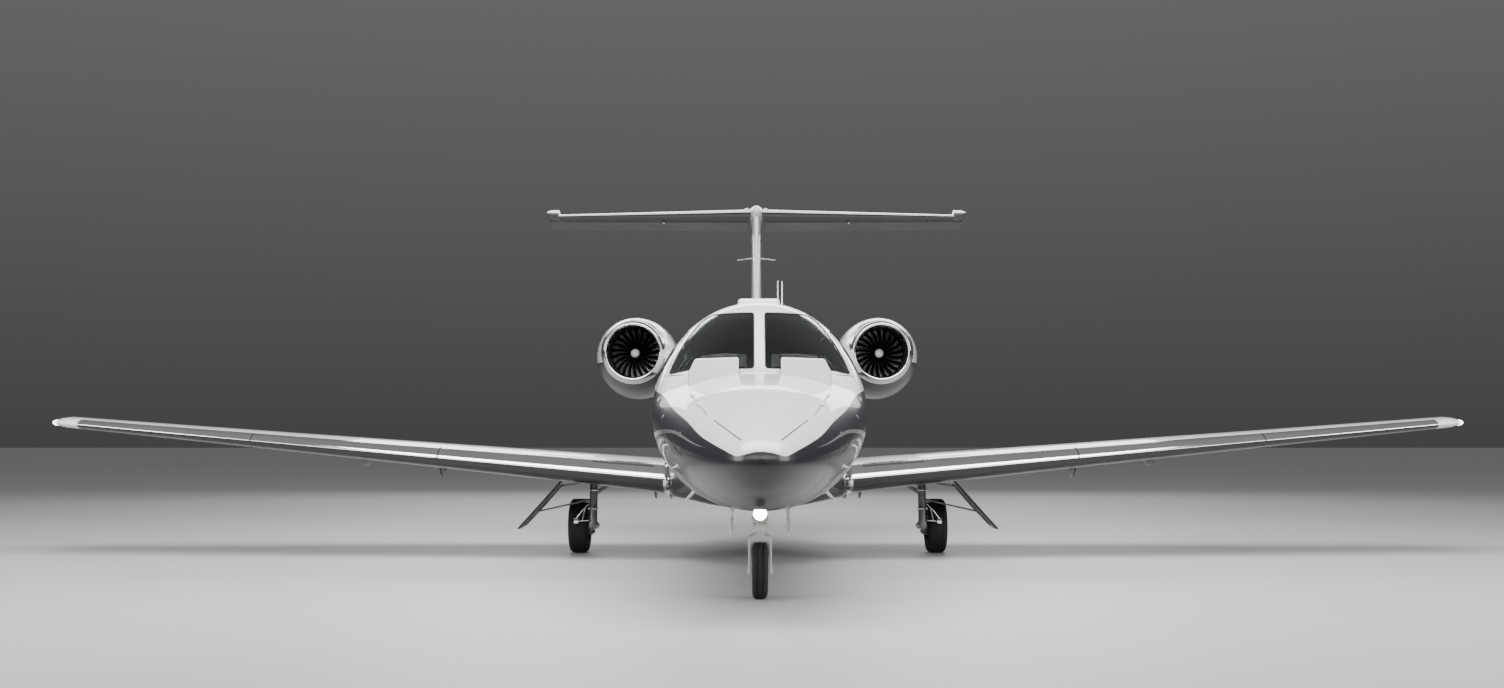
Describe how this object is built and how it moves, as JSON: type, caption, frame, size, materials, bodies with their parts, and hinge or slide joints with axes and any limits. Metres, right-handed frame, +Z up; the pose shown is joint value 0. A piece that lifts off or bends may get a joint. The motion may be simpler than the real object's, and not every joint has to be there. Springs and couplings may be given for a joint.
{
  "type": "light business jet",
  "caption": "Light twin-engined business jet with a low straight wing and a T-tail, parked on its landing gear, with working doors, control surfaces, fans and wheels.",
  "frame": {"origin": "on the ground, at the middle of the overall length and width", "axes": "+X towards the aircraft's own left wing tip, nose towards -Y, +Z up"},
  "size_m": [14.3, 12.98, 4.4162],
  "materials": {
    "white_paint": "gloss",
    "white_composite": "gloss",
    "charcoal_paint": "gloss",
    "charcoal_composite": "gloss",
    "polished_metal": "polished",
    "steel": "satin",
    "gear_paint": "satin",
    "tyre_rubber": "matte",
    "tinted_glass": "gloss",
    "engine_metal": "satin",
    "leather": "satin",
    "avionics": "matte",
    "trim": "matte",
    "carpet": "matte"
  },
  "bodies": {
    "airframe": {"aft_bulkhead": "trim", "belly_fairing": "charcoal_composite", "cabin_floor": "carpet", "cabin_lower": "charcoal_paint", "cabin_seats": "leather", "cabin_upper": "white_paint", "cabin_window_panes_left": "tinted_glass", "cabin_window_panes_right": "tinted_glass", "cockpit_seats": "leather", "cockpit_shell": "white_paint", "cockpit_window_left": "tinted_glass", "cockpit_window_right": "tinted_glass", "engine_core_left": "engine_metal", "engine_core_right": "engine_metal", "fin": "white_composite", "inlet_lip_left": "polished_metal", "inlet_lip_right": "polished_metal", "instrument_panel": "avionics", "leading_edge_left": "polished_metal", "leading_edge_right": "polished_metal", "main_gear_door_left": "charcoal_paint", "main_gear_door_right": "charcoal_paint", "main_leg_left": "gear_paint", "main_leg_right": "gear_paint", "nacelle_left": "white_composite", "nacelle_right": "white_composite", "nose_gear_door_left": "white_paint", "nose_gear_door_right": "white_paint", "nose_section": "white_paint", "nose_strut": "gear_paint", "pylon_left": "white_composite", "pylon_right": "white_composite", "radome": "white_composite", "stabiliser": "white_composite", "tail_shell": "white_paint", "windscreen_air_nozzle_left": "white_composite", "windscreen_air_nozzle_right": "white_composite", "windscreen_left": "tinted_glass", "windscreen_right": "tinted_glass", "wing_left": "white_paint", "wing_right": "white_paint"},
    "cabin_door": {"cabin_door": "white_paint"},
    "nose_baggage_door_left": {"nose_baggage_door_left": "white_paint"},
    "nose_baggage_door_right": {"nose_baggage_door_right": "white_paint"},
    "nose_fork": {"nose_fork": "gear_paint"},
    "nose_wheel": {"hub_nose": "steel", "tyre_nose": "tyre_rubber"},
    "main_wheel_left": {"hub_main_left": "steel", "tyre_main_left": "tyre_rubber"},
    "main_wheel_right": {"hub_main_right": "steel", "tyre_main_right": "tyre_rubber"},
    "fan_left": {"fan_left": "steel"},
    "fan_right": {"fan_right": "steel"},
    "flap_left": {"flap_left": "white_paint"},
    "flap_right": {"flap_right": "white_paint"},
    "aileron_left": {"aileron_left": "white_paint"},
    "aileron_right": {"aileron_right": "white_paint"},
    "rudder": {"rudder": "white_composite"},
    "elevator": {"elevator": "white_composite"}
  },
  "joints": [
    {"name": "cabin_door_hinge", "type": "hinge", "parent": "airframe", "child": "cabin_door", "pos_m": [0.61518, -2.51, 0.88482], "axis": [0, 1, 0], "range_deg": [0, 128]},
    {"name": "baggage_door_left_hinge", "type": "hinge", "parent": "airframe", "child": "nose_baggage_door_left", "pos_m": [0.46883, -5.19, 1.47044], "axis": [-0.1652, -0.9645, -0.2058], "range_deg": [0, 70]},
    {"name": "baggage_door_right_hinge", "type": "hinge", "parent": "airframe", "child": "nose_baggage_door_right", "pos_m": [-0.46883, -5.19, 1.47044], "axis": [-0.1652, 0.9645, 0.2058], "range_deg": [0, 70]},
    {"name": "nose_steering", "type": "hinge", "parent": "airframe", "child": "nose_fork", "pos_m": [0, -4.69, 0.47], "axis": [0, 0, 1], "range_deg": [-20, 20]},
    {"name": "nose_wheel_spin", "type": "hinge", "parent": "nose_fork", "child": "nose_wheel", "pos_m": [0, -4.69, 0.21], "axis": [1, 0, 0], "continuous": true},
    {"name": "main_wheel_left_spin", "type": "hinge", "parent": "airframe", "child": "main_wheel_left", "pos_m": [1.86, -0.02, 0.28], "axis": [1, 0, 0], "continuous": true},
    {"name": "main_wheel_right_spin", "type": "hinge", "parent": "airframe", "child": "main_wheel_right", "pos_m": [-1.86, -0.02, 0.28], "axis": [1, 0, 0], "continuous": true},
    {"name": "fan_left_spin", "type": "hinge", "parent": "airframe", "child": "fan_left", "pos_m": [1.42, 1.81, 2.175], "axis": [0, 1, 0], "continuous": true},
    {"name": "fan_right_spin", "type": "hinge", "parent": "airframe", "child": "fan_right", "pos_m": [-1.42, 1.81, 2.175], "axis": [0, 1, 0], "continuous": true},
    {"name": "flap_left_hinge", "type": "hinge", "parent": "airframe", "child": "flap_left", "pos_m": [2.505, 0.17241, 0.95718], "axis": [-0.9953, 0.0411, -0.0874], "range_deg": [0, 35]},
    {"name": "flap_right_hinge", "type": "hinge", "parent": "airframe", "child": "flap_right", "pos_m": [-2.505, 0.17241, 0.95718], "axis": [-0.9953, -0.0411, 0.0874], "range_deg": [0, 35]},
    {"name": "aileron_left_hinge", "type": "hinge", "parent": "airframe", "child": "aileron_left", "pos_m": [5.395, 0.05322, 1.21084], "axis": [-0.9953, 0.0411, -0.0874], "range_deg": [-18, 18]},
    {"name": "aileron_right_hinge", "type": "hinge", "parent": "airframe", "child": "aileron_right", "pos_m": [-5.395, 0.05322, 1.21084], "axis": [-0.9953, -0.0411, 0.0874], "range_deg": [-18, 18]},
    {"name": "rudder_hinge", "type": "hinge", "parent": "airframe", "child": "rudder", "pos_m": [0, 5.63, 3.355], "axis": [0, 0.2208, 0.9753], "range_deg": [-22, 22]},
    {"name": "elevator_hinge", "type": "hinge", "parent": "airframe", "child": "elevator", "pos_m": [0, 5.85, 4.305], "axis": [1, 0, 0], "range_deg": [0, 34]}
  ],
  "couplings": [
    {"joint": "flap_right_hinge", "follows": "flap_left_hinge", "ratio": 1},
    {"joint": "aileron_right_hinge", "follows": "aileron_left_hinge", "ratio": -1}
  ]
}
